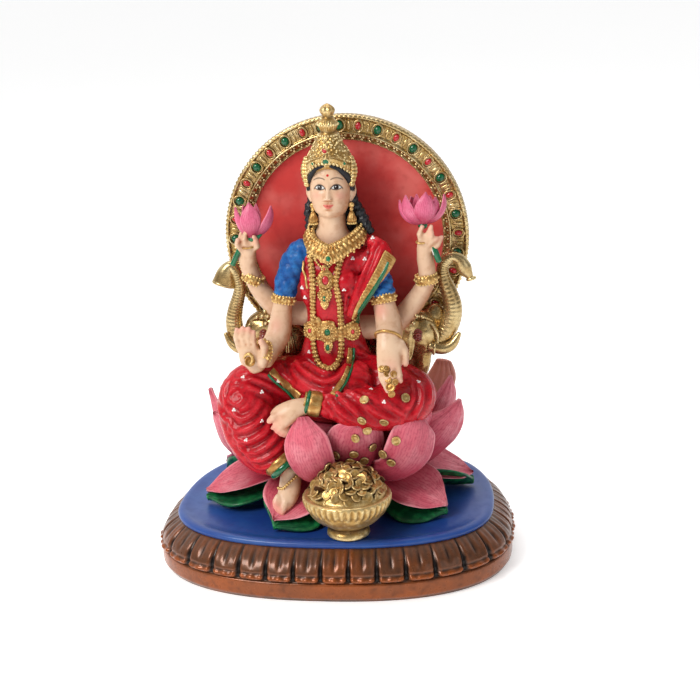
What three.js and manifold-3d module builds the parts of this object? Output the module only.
import * as THREE from 'three';
import { mergeVertices } from 'three/addons/utils/BufferGeometryUtils.js';
import Module from 'manifold-3d';

// A seated four-armed goddess on a lotus, on a D-shaped plinth, before a round jewelled halo.
// Millimetres, +Z up, the front looks along -Y, the origin is the middle of the underside.

const wasm = await Module();
wasm.setup();

// Driving dimensions
const gap = 0.3;
const seatClearance = 0.45;
const plinth = {
  halfWidth: 66,
  front: 40,
  back: 51.2,
  squareness: 2.4,
  height: 23,
  footHeight: 8.4,
  footInset: 2.4,
  cornerFade: 7,
  bandOut: 11.2,
  lip: 2.6,
  leaves: 26,
  leafDepth: 1.4,
};
const figureHeight = 170.6;
const lotus = {
  x: 1.5,
  y: 6,
  seatHeight: 37,
  coreX: 35,
  coreY: 26,
  bowlReach: [51, 39],
  innerReach: [50, 36],
  lyingReach: [60.5, 45.5],
};
const halo = {
  x: 6.8,
  y: 20,
  z: 111.8,
  radius: 52,
  bandInner: 43,
  panelRadius: 40.5,
  thickness: 8,
  recess: 3.4,
  gems: 36,
  gemRise: 0.9,
  stemHalfWidth: 22,
};
const pot = { x: 10, y: -32.5, height: 18, rim: 18, foot: 8.8, heap: 11.5 };
const coin = { radius: 2.1, thickness: 1.2 };

// The figure is drawn in units of its own height: the tip of the crown is 170.6 units above the
// deck. The petals are drawn for a seat that is 37 high and 35 wide each way.
const unit = figureHeight / 170.6;
const petalRise = lotus.seatHeight / 37;
const petalSpread = lotus.coreX / 35;

// Turning and bending helpers

function vector(p) {
  return new THREE.Vector3(p[0], p[1], p[2]);
}

function flipIfInward(geometry) {
  const p = geometry.attributes.position;
  const index = geometry.index.array;
  const a = new THREE.Vector3();
  const b = new THREE.Vector3();
  const c = new THREE.Vector3();
  let volume = 0;
  for (let i = 0; i < index.length; i += 3) {
    a.fromBufferAttribute(p, index[i]);
    b.fromBufferAttribute(p, index[i + 1]);
    c.fromBufferAttribute(p, index[i + 2]);
    volume += a.dot(b.cross(c));
  }
  if (volume < 0) {
    for (let i = 0; i < index.length; i += 3) {
      [index[i + 1], index[i + 2]] = [index[i + 2], index[i + 1]];
    }
  }
  return geometry;
}

// A closed skin from a sphere's grid: place(around 0..1, along 0..1) gives each vertex.
function skin(around, along, place) {
  const geometry = new THREE.SphereGeometry(1, around, along);
  const p = geometry.attributes.position;
  for (let row = 0; row <= along; row += 1) {
    for (let column = 0; column <= around; column += 1) {
      const pole = row === 0 || row === along;
      const turn = pole ? 0 : (column % around) / around;
      const v = place(turn, row / along);
      p.setXYZ(row * (around + 1) + column, v.x, v.y, v.z);
    }
  }
  geometry.deleteAttribute('normal');
  geometry.deleteAttribute('uv');
  return flipIfInward(mergeVertices(geometry, 1e-3));
}

function curveOf(points) {
  return new THREE.CatmullRomCurve3(points.map(vector), false, 'catmullrom', 0.5);
}

// A tapering limb along a curve. sizes holds [half width, half thickness] at even steps,
// facing is the direction in which the section is thin, and ridges makes flutes along it.
function limb(points, sizes, options = {}) {
  const { around = 10, along = 8, facing = [0, -1, 0.001] } = options;
  const { cup = 0, ridges = 0, depth = 0, round = 0.5 } = options;
  const path = curveOf(points);
  const widths = curveOf(sizes.map((s) => (Array.isArray(s) ? [s[0], s[1], 0] : [s, s, 0])));
  const thin = vector(facing).normalize();
  return skin(around, along, (turn, step) => {
    const row = step * along;
    const endRow = Math.min(row, along - row);
    const inner = THREE.MathUtils.clamp((row - 1) / (along - 2), 0, 1);
    const centre = path.getPoint(inner);
    const tangent = path.getTangent(inner).normalize();
    const size = widths.getPoint(inner);
    const side = new THREE.Vector3().crossVectors(tangent, thin).normalize();
    const normal = new THREE.Vector3().crossVectors(side, tangent).normalize();
    if (endRow === 0) {
      const out = row === 0 ? -1 : 1;
      return centre.addScaledVector(tangent, out * round * Math.min(size.x, size.y));
    }
    const angle = 2 * Math.PI * turn;
    const wave = 1 + (ridges ? (depth / size.y) * Math.cos(ridges * angle) : 0);
    const across = Math.cos(angle) * size.x * wave;
    const lift = Math.sin(angle) * size.y * wave + cup * size.x * Math.cos(angle) ** 2;
    return centre.addScaledVector(side, across).addScaledVector(normal, lift);
  });
}

function blob(centre, radii, around = 10, along = 8) {
  const geometry = new THREE.SphereGeometry(1, around, along);
  geometry.rotateX(Math.PI / 2);
  geometry.scale(radii[0], radii[1], radii[2]);
  geometry.translate(centre[0], centre[1], centre[2]);
  return geometry;
}

// A turned form standing at a place: profile holds [radius, height] from axis to axis.
function turned(profile, place, around = 16, flutes = 0, depth = 0) {
  const geometry = new THREE.LatheGeometry(profile.map((q) => new THREE.Vector2(q[0], q[1])), around);
  geometry.rotateX(Math.PI / 2);
  const p = geometry.attributes.position;
  for (let i = 0; i < p.count; i += 1) {
    const angle = Math.atan2(p.getY(i), p.getX(i));
    const factor = 1 + (flutes ? depth * Math.cos(flutes * angle) : 0);
    p.setXYZ(i, p.getX(i) * factor + place[0], p.getY(i) * factor + place[1], p.getZ(i) + place[2]);
  }
  return geometry;
}

function ring(centre, radiusX, radiusY, tube, options = {}) {
  const { around = 16, sides = 5, tilt = [0, 0, 0] } = options;
  const drawn = 3 * tube;
  const geometry = new THREE.TorusGeometry(drawn, tube, sides, around);
  const p = geometry.attributes.position;
  for (let i = 0; i < p.count; i += 1) {
    const reach = Math.hypot(p.getX(i), p.getY(i));
    const extra = reach - drawn;
    const cos = p.getX(i) / reach;
    const sin = p.getY(i) / reach;
    p.setXYZ(i, cos * (radiusX + extra), sin * (radiusY + extra), p.getZ(i));
  }
  geometry.rotateX(tilt[0]);
  geometry.rotateY(tilt[1]);
  geometry.rotateZ(tilt[2]);
  geometry.translate(centre[0], centre[1], centre[2]);
  return geometry;
}

function solidOf(geometry) {
  const bare = geometry.clone();
  bare.deleteAttribute('normal');
  bare.deleteAttribute('uv');
  const merged = flipIfInward(mergeVertices(bare, 1e-3));
  return new wasm.Manifold(new wasm.Mesh({
    numProp: 3,
    vertProperties: new Float32Array(merged.attributes.position.array),
    triVerts: new Uint32Array(merged.index.array),
  }));
}

// Joined castings are solid, so a pocket that is closed in between two forms is filled.
function withoutPockets(solid) {
  return solid.decompose().filter((shell) => shell.volume() > 0).reduce((whole, next) => whole.add(next));
}

function joined(geometries) {
  return withoutPockets(geometries.map(solidOf).reduce((whole, next) => whole.add(next)));
}

function inFigureUnits(geometry) {
  return geometry.scale(unit, unit, unit);
}

function geometryOf(solid) {
  const mesh = solid.getMesh();
  const geometry = new THREE.BufferGeometry();
  geometry.setAttribute('position', new THREE.BufferAttribute(mesh.vertProperties, 3));
  geometry.setIndex(new THREE.BufferAttribute(mesh.triVerts, 1));
  return geometry;
}

// The piece joined with a copy whose skin is pushed outward, which cuts its clear seat.
function grown(solid) {
  const geometry = geometryOf(solid);
  geometry.computeVertexNormals();
  const p = geometry.attributes.position;
  const n = geometry.attributes.normal;
  for (let i = 0; i < p.count; i += 1) {
    const out = new THREE.Vector3().fromBufferAttribute(n, i).multiplyScalar(seatClearance);
    p.setXYZ(i, p.getX(i) + out.x, p.getY(i) + out.y, p.getZ(i) + out.z);
  }
  return solidOf(geometry).add(solid);
}

function seatedAgainst(solid, neighbours) {
  const cut = neighbours.reduce((rest, neighbour) => rest.subtract(grown(neighbour)), solid);
  return cut.decompose().sort((a, b) => b.volume() - a.volume())[0];
}

function coinDisc(place, tiltX, tiltY) {
  const disc = new THREE.CylinderGeometry(coin.radius, coin.radius, coin.thickness, 6);
  disc.rotateX(Math.PI / 2 + tiltX);
  disc.rotateY(tiltY);
  disc.translate(place[0], place[1], place[2]);
  return disc;
}

function named(name, geometry, color, roughness, metalness) {
  const mesh = new THREE.Mesh(geometry, new THREE.MeshStandardMaterial({ color, roughness, metalness }));
  mesh.name = name;
  return mesh;
}

// Plinth: a D-shaped deck over a rim of lotus leaves and a plain foot

const plinthOutline = new THREE.CatmullRomCurve3(
  Array.from({ length: 72 }, (_, i) => {
    const angle = Math.PI / 2 + (2 * Math.PI * i) / 72;
    const c = Math.cos(angle);
    const s = Math.sin(angle);
    const power = 2 / plinth.squareness;
    const reachY = s < 0 ? plinth.front : plinth.back * 1.3;
    const x = Math.sign(c) * Math.abs(c) ** power * plinth.halfWidth;
    const y = Math.sign(s) * Math.abs(s) ** power * reachY;
    return new THREE.Vector3(x, Math.min(y, plinth.back), 0);
  }),
  true,
);

function plinthEdge(turn, out) {
  const point = plinthOutline.getPointAt(turn);
  const tangent = plinthOutline.getTangentAt(turn);
  const fade = THREE.MathUtils.smoothstep(plinth.back - point.y, 0, plinth.cornerFade);
  point.x += tangent.y * out * Math.max(fade, 0.2);
  point.y -= tangent.x * out * fade;
  return point;
}

function makePlinth() {
  const { height, footHeight, footInset, bandOut, lip, leaves, leafDepth } = plinth;
  const bandTop = height - lip;
  const bandHeight = bandTop - footHeight;
  const rows = [
    [bandOut - footInset, 0, 0],
    [bandOut - 0.5 * footInset, 0.88 * footHeight, 0],
    [bandOut - 0.7 * footInset, footHeight, 0],
    [bandOut, footHeight + 0.12 * bandHeight, 1],
    [bandOut * 0.84, footHeight + 0.46 * bandHeight, 1],
    [bandOut * 0.5, footHeight + 0.78 * bandHeight, 0.7],
    [0.46 * lip, bandTop, 0],
    [0.62 * lip, height - 0.23 * lip, 0],
    [0, height, 0],
  ];
  const backShare = 0.13;
  const backColumns = 3;
  const leafColumns = leaves * 2;
  const columns = leafColumns + 2 * backColumns;
  const shareAt = (column) => {
    const inward = (column - backColumns) / leafColumns;
    if (inward >= 0 && inward <= 1) {
      return backShare + (1 - 2 * backShare) * inward;
    }
    const step = column < backColumns ? column : column - columns;
    return (backShare * step) / backColumns;
  };
  return skin(columns, rows.length + 1, (turn, step) => {
    const row = Math.round(step * (rows.length + 1)) - 1;
    const [out, z, relief] = rows[THREE.MathUtils.clamp(row, 0, rows.length - 1)];
    if (row < 0 || row >= rows.length) {
      return new THREE.Vector3(0, 0, z);
    }
    const column = Math.round(turn * columns);
    const leafStep = column - backColumns;
    const groove = leafStep >= 0 && leafStep <= leafColumns && leafStep % 2 === 0 ? leafDepth * relief : 0;
    return plinthEdge(THREE.MathUtils.euclideanModulo(shareAt(column), 1), out - groove).setZ(z);
  });
}

// Lotus: a core, upright petals in two rows, and petals that lie on the deck over their sepals

function lotusPoint(angle, reachX, reachY) {
  const a = THREE.MathUtils.degToRad(angle);
  return [lotus.x + reachX * Math.cos(a), lotus.y + reachY * Math.sin(a)];
}

// A petal passes through stations of [share of its reach, height]. It may swing sideways, and
// its face may be turned by some degrees from the way in which it stands.
function petal(angle, reach, stations, widths, options = {}) {
  const { thickness = 1.6, cup = 0.25, swing = 0, face = 0, columns = 5, rows = 5 } = options;
  const points = stations.map(([share, z], i) => {
    const heading = angle + (swing * i) / (stations.length - 1);
    const [x, y] = lotusPoint(heading, share * reach[0], share * reach[1]);
    return [x, y, z * petalRise];
  });
  const a = THREE.MathUtils.degToRad(angle + face);
  return limb(points, widths.map((w) => [w * petalSpread, thickness * petalSpread]), {
    around: columns,
    along: rows,
    facing: [Math.cos(a), Math.sin(a), 0.02],
    cup,
    round: 0.8,
  });
}

function makeLotus() {
  const top = lotus.seatHeight;
  const core = turned([
    [0, gap], [0.84, gap], [0.84, 0.16 * top], [0.72, 0.35 * top], [0.9, 0.76 * top], [1, 0.97 * top], [0, top],
  ], [0, 0, 0], 12);
  core.scale(lotus.coreX, lotus.coreY, 1);
  core.translate(lotus.x, lotus.y, 0);
  const forms = [core];
  // Each head is [angle, swing, height of the tip, share of the width, turn of the face, share of
  // the reach].
  const upright = (heads, reach, stations, widths, options) => heads.forEach(
    ([angle, swing, tip, share = 1, face = 0, far = 1]) => forms.push(petal(
      angle,
      reach.map((r) => r * far),
      [...stations.slice(0, -1), [stations[stations.length - 1][0], tip]],
      widths.map((w) => w * share),
      { ...options, swing, face },
    )),
  );
  upright(
    [[222, 0, 49, 0.9], [268, -9, 49.5, 0.7], [303, 20, 46, 0.84], [66, 0, 53, 0.9], [108, 0, 53],
      [154, 0, 53, 0.95]],
    lotus.bowlReach,
    [[0.42, 16], [0.83, 21], [0.99, 31], [1, 41], [0.93, 0]],
    [6.4, 11, 13.5, 12, 4],
    { thickness: 2.4, cup: -0.2, columns: 6, rows: 6 },
  );
  upright(
    [[347, 4, 46.5, 0.84, -38], [185, 0, 50.2, 0.62, 30], [195, 0, 42.1, 0.7, 24, 0.985]],
    lotus.bowlReach,
    [[0.42, 15], [0.69, 21], [0.86, 30], [0.98, 38], [1.05, 0]],
    [7, 11, 13, 9.6, 1],
    { thickness: 2, cup: -0.22, columns: 6, rows: 6 },
  );
  upright(
    [[285, 0, 45.5, 0.84], [322, 0, 47, 0.9], [8, 0, 53, 0.84, -44], [25, 0, 53.5, 0.8, -40, 0.84],
      [206, 0, 53]],
    lotus.innerReach,
    [[0.45, 14], [0.74, 24], [0.88, 34], [0.96, 43], [1, 0]],
    [6, 10, 11.6, 9.4, 1],
    { thickness: 2, cup: -0.2 },
  );
  upright(
    [[43.5, 0, 50.9, 1, 30]],
    lotus.bowlReach,
    [[0.6, 20], [0.9, 27], [1.08, 36], [1.17, 44], [1.19, 0]],
    [4.4, 5.6, 6.2, 5.6, 3],
    { thickness: 2, cup: -0.08 },
  );
  const lying = [[19, 0.99, -9], [68, 0.9], [110, 0.9], [149, 1.06], [191, 0.955], [246, 0.91], [330, 0.905]];
  lying.forEach(([angle, share, face = 0]) => forms.push(petal(
    angle,
    lotus.lyingReach.map((reach) => reach * share),
    [[0.42, 13], [0.7, 8.4], [0.87, 5.4], [1, 3.6]],
    [10, 13, 9.6, 0.7],
    { thickness: 2.4, cup: 0.1, rows: 6, face },
  )));
  const deck = new THREE.BoxGeometry(4 * lotus.coreX, 4 * lotus.coreX, lotus.coreX);
  deck.translate(lotus.x, lotus.y, gap - lotus.coreX / 2);
  return joined(forms).subtract(solidOf(deck));
}

// Coin pot: a footed bowl with a fluted rim, heaped with coins

function makePot() {
  const { rim, foot, height, heap } = pot;
  const forms = [turned([
    [0, gap], [foot, gap], [foot, height * 0.14], [foot * 0.74, height * 0.26], [rim * 0.82, height * 0.68],
    [rim, height * 0.9], [rim * 0.98, height], [rim * 0.86, height * 1.05], [rim * 0.68, height + heap * 0.52],
    [rim * 0.36, height + heap * 0.9], [0, height + heap],
  ], [pot.x, pot.y, 0], 20, 10, 0.02)];
  const coins = 7;
  for (let i = 0; i < coins; i += 1) {
    const share = (i + 0.5) / coins;
    const angle = i * 2.4 - 1.6;
    const reach = rim * 0.68 * Math.sqrt(share);
    const z = height + heap * (1 - share) + 0.65 * coin.thickness;
    forms.push(coinDisc(
      [pot.x + reach * Math.cos(angle), pot.y + reach * Math.sin(angle), z],
      0.5 * Math.sin(angle * 3),
      0.5 * Math.cos(angle * 2),
    ));
  }
  return joined(forms);
}

// Halo: a round plate with a raised jewelled band, a sunk panel and a stem down to the seat

function makeHalo() {
  const { radius, bandInner, panelRadius, thickness, recess, gems, gemRise } = halo;
  const rows = [
    [radius * 0.98, thickness, 0],
    [radius, thickness * 0.15, 0],
    [(radius + bandInner) / 2, gemRise / 2, gemRise],
    [bandInner, thickness * 0.05, 0],
    [panelRadius, recess, 0],
  ];
  const columns = gems * 2;
  const disc = skin(columns, rows.length + 1, (turn, step) => {
    const row = Math.round(step * (rows.length + 1)) - 1;
    const [r, y, gem] = rows[THREE.MathUtils.clamp(row, 0, rows.length - 1)];
    const reach = row < 0 || row >= rows.length ? 0 : r;
    const angle = 2 * Math.PI * turn;
    const between = Math.round(turn * columns) % 2;
    return new THREE.Vector3(reach * Math.cos(angle), y - (between ? 0 : gem), reach * Math.sin(angle));
  });
  disc.translate(halo.x, halo.y, halo.z);
  const bottom = lotus.seatHeight + gap;
  const stemTop = halo.z - radius * 0.8;
  const stem = new THREE.BoxGeometry(2 * halo.stemHalfWidth, thickness - recess, stemTop - bottom);
  stem.translate(halo.x, halo.y + (thickness + recess) / 2, (stemTop + bottom) / 2);
  return joined([disc, stem]);
}

// Elephants: drawn from the halo's centre. side is 1 on the right as seen, and -1 on the left.

function makeElephant(side) {
  const spread = side > 0 ? 0 : 4.4;
  const at = (x, y, z) => {
    const low = THREE.MathUtils.smoothstep(-z, 0, 30);
    return [halo.x / unit + side * (x + spread * low), y, halo.z / unit + z];
  };
  const trunk = side > 0
    ? [[32, -45.4], [41.6, -39], [44.7, -28], [42.2, -18], [41, -11.6], [45.3, -6.8], [49.6, -11.4], [52.5, -15.7]]
    : [[-38.4, -46.2], [-47.4, -41], [-48.2, -31.4], [-45.4, -21], [-46, -13.4], [-48.6, -10.4], [-51.8, -18]];
  const girths = side > 0
    ? [4.6, 4.5, 4.2, 3.2, 2.6, 2.5, 2.9, [2, 1.8]] : [4.6, 4.3, 3.6, 2.7, 2.5, [2.8, 2.6], [5.2, 3.6]];
  return joined([
    blob(at(22.2, 13.4, -47.8), [11, 5.6, 13], 7, 5),
    blob(at(31.2, 12, -39.8), [9, 6.4, 10.4], 7, 5),
    limb(trunk.map(([x, z]) => [halo.x / unit + x, 12, halo.z / unit + z]), girths, { around: 6, along: 12 }),
    limb([at(36.2, 8, -46.8), at(43.2, 8, -47.2), at(48.2, 8.5, -41.8)], [2.8, 2.6, 1.6], { around: 5, along: 4 }),
    limb([at(28.2, 7.6, -30.8), at(24.2, 6.4, -39.8), at(25.2, 7, -49.8)], [[2, 1.2], [5.5, 1.6], [2, 1.2]],
      { around: 5, along: 5 }),
    limb([at(31.2, 12, -47.8), at(31.2, 12, -54.8), at(31.2, 12, -60.8)], [4.4, 3.4, 1.2], { around: 5, along: 4 }),
  ].map(inFigureUnits));
}

// Goddess: limbs, clothes and jewels as tapering forms along curves

// A hand: a palm from the wrist to the knuckles, the four fingers side by side, and a thumb.
function hand(palm, fingers, thumb, options = {}) {
  const { facing = [0, -1, 0.3], width = 5.4, thickness = 2.6, narrow = 0.8 } = options;
  const palmSizes = [[width * 0.66, thickness], [width, thickness], [width * 0.94, thickness * 0.8]];
  const fingerSizes = [
    [width * 0.92, thickness * 0.7], [width * narrow, thickness * 0.6], [width * narrow * 0.6, 1.1],
  ];
  return [
    limb(palm, palmSizes, { around: 6, along: 5, facing }),
    limb(fingers, fingerSizes, { around: 6, along: 4, facing }),
    limb(thumb, [1.9, 1.8, 1.2], { around: 4, along: 4 }),
  ];
}

// A lotus flower: a cup whose lip rises in petal tips, round a closed bud.
function flower(base, reach, height, tips, open) {
  const [x, y, z] = base;
  const wide = reach * (0.5 + 0.5 * open);
  const rows = [
    [0.2, 0, 0],
    [0.72, 0.3, 0],
    [0.96, 0.62, 0.1],
    [1, 0.84, 0.22],
    [0.8, 0.74, 0.2],
    [0.3, 0.5, 0],
  ];
  const cup = skin(tips * 2, rows.length + 1, (turn, step) => {
    const row = Math.round(step * (rows.length + 1)) - 1;
    const [r, up, tip] = rows[THREE.MathUtils.clamp(row, 0, rows.length - 1)];
    const pole = row < 0 || row >= rows.length;
    const angle = 2 * Math.PI * turn - Math.PI / 2;
    const between = Math.round(turn * tips * 2) % 2 ? -1 : 1;
    const radius = pole ? 0 : wide * r * (1 + 0.6 * tip * between);
    const high = height * (up + tip * between - (pole && row < 0 ? 0.1 : 0));
    return new THREE.Vector3(x + radius * Math.cos(angle), y + radius * 0.75 * Math.sin(angle), z + high);
  });
  const bud = limb([[x, y, z + 1], [x, y, z + height * 0.5], [x, y, z + height]], [1.6, reach * 0.38, 0.6], {
    around: 5,
    along: 5,
  });
  return [cup, bud];
}

// The crown's lower rows stand higher over the forehead than at the sides.
function withArchedBrim(geometry, middleY, low, high, rise) {
  const p = geometry.attributes.position;
  const reach = 9.4;
  for (let i = 0; i < p.count; i += 1) {
    const front = THREE.MathUtils.clamp((middleY - p.getY(i)) / reach, 0, 1);
    const share = 1 - THREE.MathUtils.smoothstep(p.getZ(i), low, high);
    p.setZ(i, p.getZ(i) + rise * share * front ** 2);
  }
  return geometry;
}

function makeCrown() {
  const flap = (x, lean) => limb([[x, 3, 148.6], [x + lean, 2, 143.6], [x, 2, 137.4]],
    [[1.2, 2], [1.3, 2.2], [0.9, 1.4]], { around: 4, along: 4 });
  return [
    withArchedBrim(turned([
      [0, 141], [9, 141], [9.9, 143], [9.9, 146.8], [8.6, 149.8], [6.7, 153.1], [4, 158],
      [3.4, 159.8], [4.3, 162.2], [2.4, 165.1], [3.2, 167.9], [0, 170.6],
    ], [3.6, 4.5, 0], 10), 4.5, 142, 153, 6),
    flap(-6.2, -0.8),
    flap(13.4, 0.8),
  ];
}

function makeHead() {
  return [
    limb(
      [[3.8, 2.8, 124.8], [3.7, 2.6, 129.6], [3.6, 3.4, 137], [3.6, 4.4, 146]],
      [[4.6, 5], [7.6, 7.2], [8.5, 8.4], [7, 7.6]],
      { around: 8, along: 6 },
    ),
    limb([[3.5, 4, 110], [3.6, 3.6, 117], [3.7, 4, 128]], [7, 5.6, 5.4], { around: 7, along: 4 }),
    limb([[3.7, -4.4, 136.6], [3.7, -6.3, 132.2], [3.7, -4.6, 131.2]], [0.7, 1.2, 0.9], { around: 4, along: 4 }),
    limb(
      [[3.8, 9, 143], [3.8, 11, 130], [4.6, 10, 118], [5.4, 9, 108]],
      [[9.6, 6], [11, 5.6], [12, 4.8], [10, 3.6]],
      { around: 8, along: 6 },
    ),
    blob([-5.2, 2.8, 128.6], [2.2, 2.2, 5], 5, 4),
    blob([12.8, 2.8, 128.6], [2.2, 2.2, 5], 5, 4),
  ];
}

function makeTorso() {
  return [
    limb(
      [[2.5, 4, 42], [2.5, 3.6, 62], [2.5, 2.4, 80], [3, 2, 97], [3.4, 3, 108], [3.4, 3.6, 115]],
      [[20, 12], [16, 10.4], [11, 8], [13, 8.8], [13.6, 7.4], [6, 5]],
      { around: 8, along: 8 },
    ),
    blob([-2.8, -3.6, 99], [5.4, 5, 5.6], 6, 5),
    blob([9.4, -3.6, 99], [5.4, 5, 5.6], 6, 5),
    limb([[24, 1, 109], [20.6, -4.6, 98], [12.4, -7.4, 84]], [[3.2, 1.8], [3, 1.6], [2, 1.4]],
      { around: 5, along: 5 }),
    blob([19, 2.8, 107], [8, 6.8, 7.2], 7, 5),
    blob([-9.6, 3, 108], [7, 6.2, 5.6], 7, 5),
  ];
}

function makeJewels() {
  return [
    ring([3.4, 0, 114.6], 9.8, 8, 2.1, { around: 10, sides: 3, tilt: [0.5, 0, 0] }),
    ring([2.5, 1.8, 79.6], 11.6, 8.8, 2, { around: 10, sides: 3 }),
    limb(
      [[-4.6, -6.8, 108], [-3.6, -9, 98], [-3, -9.4, 84], [-1.6, -12, 66], [3.4, -13.8, 60], [8.2, -12, 66],
        [7.6, -9.4, 84], [7.8, -9, 98], [8.8, -6.8, 108]],
      [1.4, 1.4],
      { around: 4, along: 16 },
    ),
    limb([[3.4, -6.6, 113], [2.8, -8.8, 104], [2.6, -9.2, 94]], [[1.4, 1.2], [3.2, 1.5], [1, 1]],
      { around: 5, along: 5 }),
    blob([3, -8.4, 79], [4.2, 2.2, 6], 6, 5),
    blob([-8, -5, 77.6], [2.8, 2.2, 4.6], 5, 4),
    blob([12.8, -5, 77.6], [3.6, 2.2, 4.6], 5, 4),
  ];
}

function makeFrontArms() {
  return [
    limb(
      [[-9.6, 3, 109.5], [-14.8, 1.4, 101], [-17.6, -0.8, 90], [-19.8, -3, 76], [-23.4, -10, 71.5],
        [-26.6, -16.6, 70]],
      [6, 5.2, 4.2, 5.2, 4.5, 3.5],
      { around: 6, along: 7 },
    ),
    limb(
      [[17.2, 3, 109.5], [21.4, 1.4, 101], [24.2, -1, 90], [26.6, -4, 80], [27.6, -12, 77.4], [27.6, -18.4, 75.6]],
      [6, 5.3, 4.6, 5.5, 5.1, 4],
      { around: 6, along: 7 },
    ),
    ring([-17.3, -0.6, 91], 4.3, 4.3, 1, { around: 6, sides: 3, tilt: [0.18, -0.24, 0] }),
    ring([24, -0.8, 91], 4.7, 4.7, 1, { around: 6, sides: 3, tilt: [0.2, 0.2, 0] }),
    ...hand(
      [[-26.4, -17.4, 65.6], [-28, -18.8, 72.6], [-30, -19.4, 78.6]],
      [[-29.6, -19.2, 76], [-30.6, -19.8, 81], [-31.2, -19.4, 86]],
      [[-24.6, -18.2, 69], [-22.4, -20.4, 72.6], [-21, -20.6, 76]],
      { width: 6.4, facing: [0.05, -1, 0.05], narrow: 0.9 },
    ),
    ...hand(
      [[27.6, -17, 76], [28, -21, 70.4], [27.8, -23.2, 64.6]],
      [[27.8, -22.4, 67], [27.4, -25, 61.6], [27, -26.2, 56.6]],
      [[30.6, -18.8, 73], [33.4, -20.2, 69.4], [34, -21.4, 65]],
      { facing: [0, -1, 0.45], narrow: 0.72 },
    ),
  ];
}

function makeRearArms() {
  return [
    limb(
      [[-8, 7, 82], [-20, 7.6, 83.6], [-27.4, 7, 91], [-31.4, 6, 99], [-33, 5, 107], [-32.4, 4, 117]],
      [5.4, 5, 4.5, 4.2, 4, 2.9],
      { around: 6, along: 7 },
    ),
    limb(
      [[12, 7, 76], [27, 7.6, 77.6], [36, 7, 87], [42.6, 6, 97], [42, 5, 106], [40.4, 4, 117]],
      [5.4, 5.2, 4.7, 4.3, 4, 2.9],
      { around: 6, along: 7 },
    ),
    ring([-30.6, 6.3, 98], 4.8, 4.8, 1.4, { around: 6, sides: 3, tilt: [0, -0.5, 0] }),
    ring([42.3, 6, 97], 4.8, 4.8, 1.3, { around: 6, sides: 3, tilt: [0, 0.3, 0] }),
    limb([[-29, 3, 121], [-34.4, 2.8, 116.6], [-38, 1.4, 120.6]], [2.6, 2.4, 1.2], { around: 4, along: 4 }),
    limb([[38.4, 3, 121], [44, 2.8, 117], [48.6, 1.6, 119]], [2.6, 2.4, 1.2], { around: 4, along: 4 }),
    ...flower([-29.8, 2.6, 120], 8.8, 12.4, 5, 0.55),
    ...flower([39.9, 2.6, 119.8], 10.6, 12.4, 6, 0.7),
  ];
}

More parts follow.
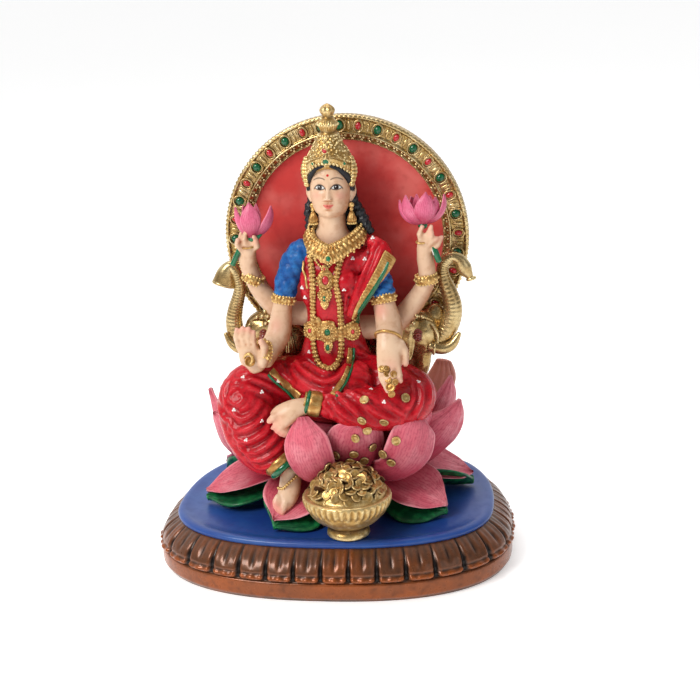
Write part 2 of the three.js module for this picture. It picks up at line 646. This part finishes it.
function makeLegs() {
  return [
    limb(
      [[-4, 4, 53], [-19, -5, 55], [-32.6, -13.4, 54], [-30.4, -19, 41.6], [-23.4, -21.4, 31],
        [-18.6, -21.8, 23.4]],
      [[12, 11], [12, 11], [11.6, 11], [12.6, 11], [11.2, 9.6], [6.2, 5.8]],
      { around: 8, along: 8, ridges: 4, depth: 0.5 },
    ),
    limb(
      [[8, 4, 53], [24, -1, 53], [35, -7, 51], [30, -15, 49], [14, -22, 50.6], [-0.6, -24.6, 53.4]],
      [[12, 11], [12.4, 11.6], [10.4, 11], [9.6, 10], [8.4, 8.4], [4.8, 4.8]],
      { around: 8, along: 8, ridges: 4, depth: 0.5 },
    ),
    limb([[-14, -8, 62], [0, -15, 55], [16, -9, 60]], [[6, 5], [11, 8], [7, 6]], { around: 7, along: 5 }),
    limb([[2, -24.4, 53.4], [-7, -26.4, 53.4], [-14, -28.4, 51.6], [-20.6, -29.4, 47.6]],
      [[3.4, 3.2], [3.8, 3.4], [4.4, 2.8], [3.8, 1.9]], { around: 6, along: 5, facing: [0, -1, 0.6] }),
    limb([[-18.6, -21.6, 26], [-17.4, -22.6, 18], [-18.6, -25.4, 12], [-20.4, -28.8, 7]],
      [[3.8, 3.8], [3.8, 4], [4.4, 3.2], [3.9, 1.9]], { around: 6, along: 5, facing: [0, -1, 0.5] }),
    limb([[-16, -8.6, 66], [-10, -14.6, 61], [-2.6, -19.6, 55]], [[1.8, 1.4], [2, 1.6], [1.8, 1.4]],
      { around: 4, along: 4 }),
    limb([[12, -8.6, 74], [13.4, -13, 65], [8.4, -19.6, 56.6]], [[1.8, 1.4], [2, 1.6], [1.8, 1.4]],
      { around: 4, along: 4 }),
    coinDisc([22, -23.4, 56], 0.3, 0),
    coinDisc([19.6, -27.4, 50], 0.2, 0),
    coinDisc([29, -23.4, 48.8], 0.2, 0.2),
  ];
}

function makeGoddess() {
  return joined([
    ...makeTorso(),
    ...makeLegs(),
    ...makeHead(),
    ...makeCrown(),
    ...makeJewels(),
    ...makeFrontArms(),
    ...makeRearArms(),
  ].map(inFigureUnits));
}

// Assembly: everything above the deck hangs in one group at the deck's height

const part = new THREE.Group();
const centred = new THREE.Group();
centred.position.y = (plinth.front + plinth.bandOut - plinth.back) / 2;
part.add(centred);
centred.add(named('plinth', makePlinth(), 0x6b4a24, 0.5, 0.15));

const figure = new THREE.Group();
figure.position.z = plinth.height;
centred.add(figure);

const gold = 0xb08a3c;
const red = 0xc01f34;
const pink = 0xc65a78;
const goddess = makeGoddess();
const coinPot = makePot();
const lotusSeat = seatedAgainst(makeLotus(), [goddess, coinPot]);
const backPlate = seatedAgainst(makeHalo(), [goddess, lotusSeat]);
figure.add(named('goddess', geometryOf(goddess), red, 0.4, 0));
figure.add(named('coin_pot', geometryOf(coinPot), gold, 0.35, 0.7));
figure.add(named('lotus_seat', geometryOf(lotusSeat), pink, 0.5, 0));
figure.add(named('halo', geometryOf(backPlate), gold, 0.4, 0.6));
[['elephant_left', -1], ['elephant_right', 1]].forEach(([name, side]) => {
  const elephant = seatedAgainst(makeElephant(side), [goddess, backPlate, lotusSeat]);
  figure.add(named(name, geometryOf(elephant), gold, 0.35, 0.7));
});

export default part;
